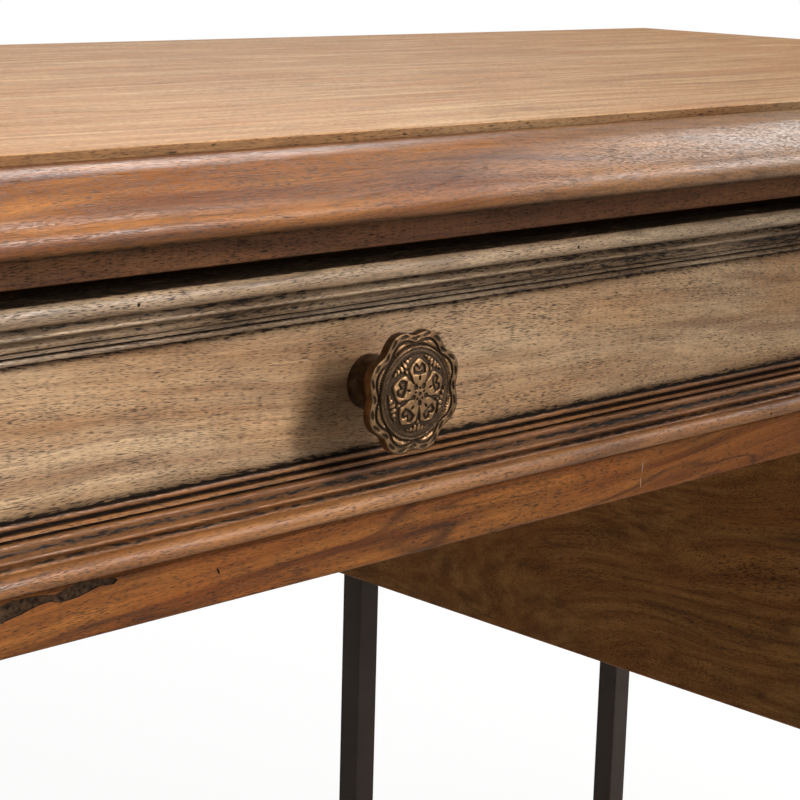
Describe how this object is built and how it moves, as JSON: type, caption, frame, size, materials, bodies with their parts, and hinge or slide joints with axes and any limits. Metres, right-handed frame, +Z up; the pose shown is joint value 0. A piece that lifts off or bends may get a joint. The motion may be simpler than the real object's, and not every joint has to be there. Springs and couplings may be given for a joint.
{
  "type": "writing desk",
  "caption": "Kneehole writing desk of distressed hardwood with a moulded top, framed drawer fronts and cast brass knobs, raised on thin square iron legs.",
  "frame": {"origin": "on the floor, under the middle of the top", "axes": "+X along the desk to its right as seen from the front, +Y from the drawer fronts to the back, +Z up"},
  "size_m": [1.379, 0.479, 0.76],
  "materials": {
    "top_wood": "waxed, distressed",
    "carcass_wood": "waxed, distressed",
    "drawer_front_wood": "waxed, distressed",
    "drawer_box_wood": "plain sanded",
    "antique_brass": "aged casting",
    "blackened_iron": "blackened and waxed",
    "screw_steel": "zinc plated",
    "foot_rubber": "matt"
  },
  "bodies": {
    "carcass": {"top_panel": "top_wood", "top_edging": "top_wood", "front_top_rail": "carcass_wood", "back_top_rail": "carcass_wood", "top_cross_rails": "carcass_wood", "kneehole_rail": "carcass_wood", "kneehole_back": "carcass_wood", "left_outer_side": "carcass_wood", "left_inner_side": "carcass_wood", "left_back": "carcass_wood", "left_bottom": "carcass_wood", "left_divider": "carcass_wood", "right_outer_side": "carcass_wood", "right_inner_side": "carcass_wood", "right_back": "carcass_wood", "right_bottom": "carcass_wood", "right_divider": "carcass_wood", "drawer_runners": "drawer_box_wood", "drawer_stops": "drawer_box_wood", "left_front_inner_leg": "blackened_iron", "left_front_outer_leg": "blackened_iron", "left_rear_inner_leg": "blackened_iron", "left_rear_outer_leg": "blackened_iron", "right_front_inner_leg": "blackened_iron", "right_front_outer_leg": "blackened_iron", "right_rear_inner_leg": "blackened_iron", "right_rear_outer_leg": "blackened_iron", "leg_screws": "screw_steel", "top_screws": "screw_steel", "leg_feet": "foot_rubber"},
    "centre_drawer": {"centre_drawer_front": "drawer_front_wood", "centre_drawer_mouldings": "drawer_front_wood", "centre_drawer_box": "drawer_box_wood", "centre_drawer_bottom": "drawer_box_wood", "centre_drawer_knob": "antique_brass", "centre_drawer_knob_bolt": "screw_steel"},
    "left_upper_drawer": {"left_upper_drawer_front": "drawer_front_wood", "left_upper_drawer_mouldings": "drawer_front_wood", "left_upper_drawer_box": "drawer_box_wood", "left_upper_drawer_bottom": "drawer_box_wood", "left_upper_drawer_knob": "antique_brass", "left_upper_drawer_knob_bolt": "screw_steel"},
    "left_lower_drawer": {"left_lower_drawer_front": "drawer_front_wood", "left_lower_drawer_mouldings": "drawer_front_wood", "left_lower_drawer_box": "drawer_box_wood", "left_lower_drawer_bottom": "drawer_box_wood", "left_lower_drawer_knob": "antique_brass", "left_lower_drawer_knob_bolt": "screw_steel"},
    "right_upper_drawer": {"right_upper_drawer_front": "drawer_front_wood", "right_upper_drawer_mouldings": "drawer_front_wood", "right_upper_drawer_box": "drawer_box_wood", "right_upper_drawer_bottom": "drawer_box_wood", "right_upper_drawer_knob": "antique_brass", "right_upper_drawer_knob_bolt": "screw_steel"},
    "right_lower_drawer": {"right_lower_drawer_front": "drawer_front_wood", "right_lower_drawer_mouldings": "drawer_front_wood", "right_lower_drawer_box": "drawer_box_wood", "right_lower_drawer_bottom": "drawer_box_wood", "right_lower_drawer_knob": "antique_brass", "right_lower_drawer_knob_bolt": "screw_steel"}
  },
  "joints": [
    {"name": "centre_drawer_slide", "type": "slide", "parent": "carcass", "child": "centre_drawer", "axis": [0, -1, 0], "range_m": [0, 0.3]},
    {"name": "left_upper_drawer_slide", "type": "slide", "parent": "carcass", "child": "left_upper_drawer", "axis": [0, -1, 0], "range_m": [0, 0.3]},
    {"name": "left_lower_drawer_slide", "type": "slide", "parent": "carcass", "child": "left_lower_drawer", "axis": [0, -1, 0], "range_m": [0, 0.3]},
    {"name": "right_upper_drawer_slide", "type": "slide", "parent": "carcass", "child": "right_upper_drawer", "axis": [0, -1, 0], "range_m": [0, 0.3]},
    {"name": "right_lower_drawer_slide", "type": "slide", "parent": "carcass", "child": "right_lower_drawer", "axis": [0, -1, 0], "range_m": [0, 0.3]}
  ]
}
